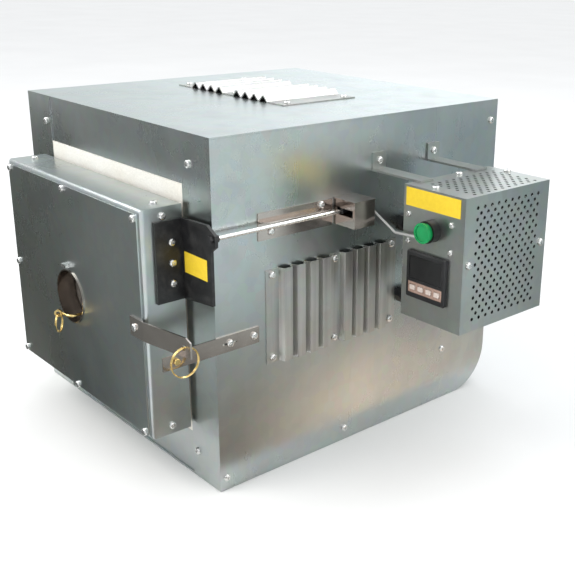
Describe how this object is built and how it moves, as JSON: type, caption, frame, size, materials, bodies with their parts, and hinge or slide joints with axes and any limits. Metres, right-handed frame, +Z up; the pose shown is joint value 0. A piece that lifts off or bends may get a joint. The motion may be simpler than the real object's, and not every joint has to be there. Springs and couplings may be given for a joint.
{
  "type": "pottery kiln",
  "caption": "Small front-loading electric kiln in sheet steel, with an insulated side-hinged door, sight hole and bung, ring latch, door interlock and side control box.",
  "frame": {"origin": "centre of the casing's underside, where the kiln rests", "axes": "+X to the control box side, +Y from the door into the kiln, +Z up"},
  "size_m": [0.4764, 0.4495, 0.3365],
  "materials": {
    "galvanised": "satin",
    "vent_sheet": "satin",
    "box_sheet": "satin",
    "bright_steel": "polished",
    "screw_steel": "polished",
    "fibre": "matt",
    "ceramic": "matt",
    "heater_wire": "oxidised",
    "brass": "polished",
    "black_paint": "satin",
    "black_plastic": "matt",
    "display": "glossy",
    "keypad": "matt",
    "key_plastic": "matt",
    "green_plastic": "glossy",
    "yellow_plate": "satin",
    "grey_lead": "matt"
  },
  "bodies": {
    "kiln": {"back_panel": "galvanised", "base_pan": "galvanised", "button_body": "black_plastic", "casing_screws": "screw_steel", "conduit_glands": "black_plastic", "control_box_screws": "screw_steel", "control_chassis": "box_sheet", "control_cover": "box_sheet", "control_panel": "box_sheet", "controller": "black_plastic", "controller_window": "display", "element_terminals": "brass", "fibre_collar": "fibre", "front_flanges": "galvanised", "front_panels": "galvanised", "hanging_brackets": "box_sheet", "hearth_plate": "ceramic", "heating_elements": "heater_wire", "hinge_leaves_body": "bright_steel", "hinge_pins": "bright_steel", "interlock_lead": "grey_lead", "key_strip": "keypad", "latch_staple": "bright_steel", "latch_stud": "brass", "lining_sides": "fibre", "lining_slabs": "fibre", "mains_gland": "black_plastic", "microswitch": "black_plastic", "panel_label": "yellow_plate", "relay_block": "black_plastic", "rod_guide": "bright_steel", "side_panel_left": "galvanised", "side_panel_right": "galvanised", "switch_housing": "bright_steel", "thermocouple": "ceramic", "top_panel": "galvanised", "vent_cover_side": "vent_sheet", "vent_cover_top": "vent_sheet"},
    "door": {"door_cover": "galvanised", "door_frame": "galvanised", "door_lining": "fibre", "door_screws": "screw_steel", "sight_tube": "bright_steel", "hinge_leaves_door": "bright_steel", "handle_bracket": "black_paint", "handle_label": "yellow_plate", "interlock_rod": "screw_steel", "rod_fittings": "black_plastic", "latch_strip": "bright_steel", "sight_tab": "screw_steel"},
    "latch_ring_body": {"latch_ring": "brass"},
    "bung_body": {"sight_bung": "ceramic", "bung_pull": "brass"},
    "bung_ring_body": {"bung_ring": "brass"},
    "button_body_moving": {"green_button": "green_plastic"},
    "plunger_body": {"switch_plunger": "black_plastic"},
    "key_1_body": {"key_1": "key_plastic"},
    "key_2_body": {"key_2": "key_plastic"},
    "key_3_body": {"key_3": "key_plastic"},
    "key_4_body": {"key_4": "key_plastic"}
  },
  "joints": [
    {"name": "door_hinge", "type": "hinge", "parent": "kiln", "child": "door", "pos_m": [-0.139, -0.1895, 0.16], "axis": [0, 0, -1], "range_deg": [0, 100]},
    {"name": "latch_ring_swing", "type": "hinge", "parent": "door", "child": "latch_ring_body", "pos_m": [0.183, -0.2225, 0.16], "axis": [0, -1, 0], "range_deg": [0, 80]},
    {"name": "bung_pull_out", "type": "slide", "parent": "door", "child": "bung_body", "axis": [0, -1, 0], "range_m": [0, 0.045]},
    {"name": "bung_ring_swing", "type": "hinge", "parent": "bung_body", "child": "bung_ring_body", "pos_m": [-0.009, -0.244, 0.1379], "axis": [-0.7314, 0.682, 0], "range_deg": [0, 60]},
    {"name": "button_press", "type": "slide", "parent": "kiln", "child": "button_body_moving", "axis": [0, 1, 0], "range_m": [0, 0.003], "stiffness_N_per_m": 300},
    {"name": "switch_plunger_press", "type": "slide", "parent": "kiln", "child": "plunger_body", "axis": [0, 1, 0], "range_m": [0, 0.0006], "stiffness_N_per_m": 200},
    {"name": "key_1_press", "type": "slide", "parent": "kiln", "child": "key_1_body", "axis": [0, 1, 0], "range_m": [0, 0.0005], "stiffness_N_per_m": 200},
    {"name": "key_2_press", "type": "slide", "parent": "kiln", "child": "key_2_body", "axis": [0, 1, 0], "range_m": [0, 0.0005], "stiffness_N_per_m": 200},
    {"name": "key_3_press", "type": "slide", "parent": "kiln", "child": "key_3_body", "axis": [0, 1, 0], "range_m": [0, 0.0005], "stiffness_N_per_m": 200},
    {"name": "key_4_press", "type": "slide", "parent": "kiln", "child": "key_4_body", "axis": [0, 1, 0], "range_m": [0, 0.0005], "stiffness_N_per_m": 200}
  ]
}
